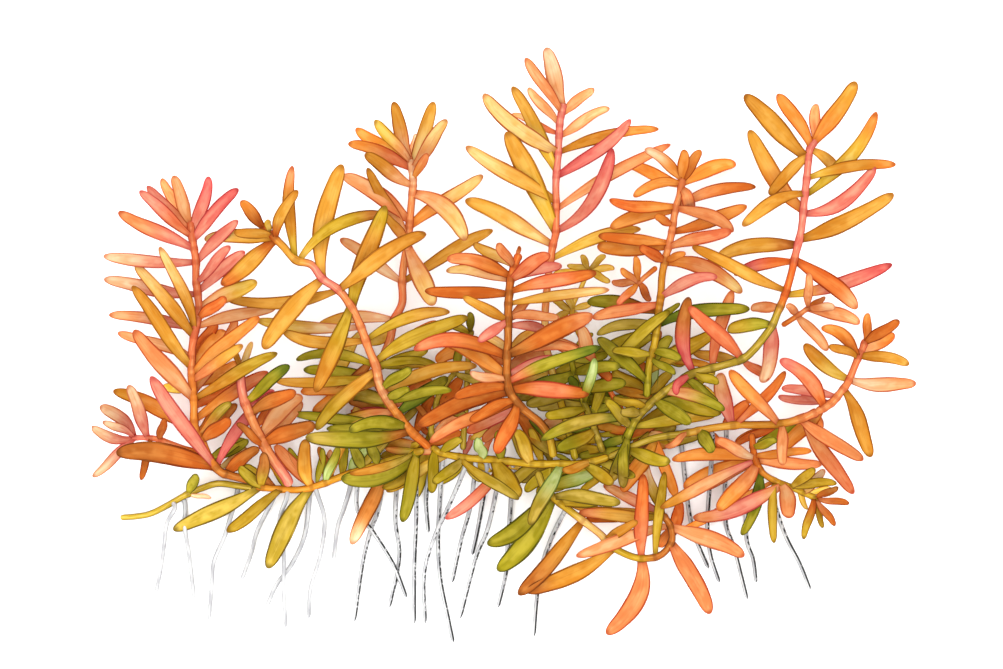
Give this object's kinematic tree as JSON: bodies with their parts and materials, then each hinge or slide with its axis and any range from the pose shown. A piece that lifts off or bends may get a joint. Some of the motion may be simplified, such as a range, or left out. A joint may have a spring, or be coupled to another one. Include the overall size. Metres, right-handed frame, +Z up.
{
  "type": "aquarium plant",
  "caption": "Clump of rotala, an aquarium stem plant, lying flat: creeping runners with thread roots below and leafy shoots of narrow orange, coral and olive-green leaves.",
  "frame": {"origin": "middle of the clump's outline, on the surface that it lies on", "axes": "+X along the runners towards the right-hand shoots, +Y along the shoots towards their tips, +Z up from the surface"},
  "size_m": [0.1646, 0.119, 0.025],
  "materials": {
    "runner": "amber and olive plant stem, satin",
    "coral_leaf": "coral-pink leaves with darker edges, satin",
    "orange_leaf": "orange leaves with red-brown edges, satin",
    "olive_leaf": "olive and amber leaves, satin",
    "green_leaf": "green older leaves, satin",
    "yellow_leaf": "yellow young leaves, satin",
    "root": "translucent white thread"
  },
  "bodies": {
    "root": {"runner_left": "runner", "runner_left_end": "runner", "runner_middle": "runner", "runner_right": "runner", "shoot_far_left": "coral_leaf", "shoot_low_left": "coral_leaf", "shoot_coral_left": "coral_leaf", "shoot_olive": "olive_leaf", "shoot_middle_back": "orange_leaf", "shoot_tallest": "orange_leaf", "shoot_yellow": "yellow_leaf", "shoot_front": "orange_leaf", "shoot_right_middle": "orange_leaf", "shoot_side_orange": "orange_leaf", "shoot_right": "orange_leaf", "shoot_side_coral": "orange_leaf", "shoot_right_low": "orange_leaf", "shoot_bottom_right": "orange_leaf", "shoot_curled": "orange_leaf", "shoot_green_back": "green_leaf", "shoot_khaki_left": "green_leaf", "shoot_khaki_right": "green_leaf", "root_left_1": "root", "root_left_2": "root", "root_left_3": "root", "root_left_4": "root", "root_left_5": "root", "root_left_6": "root", "root_left_7": "root", "root_left_8": "root", "root_middle_1": "root", "root_middle_2": "root", "root_middle_3": "root", "root_middle_4": "root", "root_middle_5": "root", "root_middle_6": "root", "root_middle_7": "root", "root_middle_8": "root", "root_middle_9": "root", "root_middle_10": "root", "root_middle_11": "root", "root_middle_12": "root", "root_right_1": "root", "root_right_2": "root", "root_right_3": "root", "root_right_4": "root", "root_right_5": "root"}
  },
  "joints": []
}
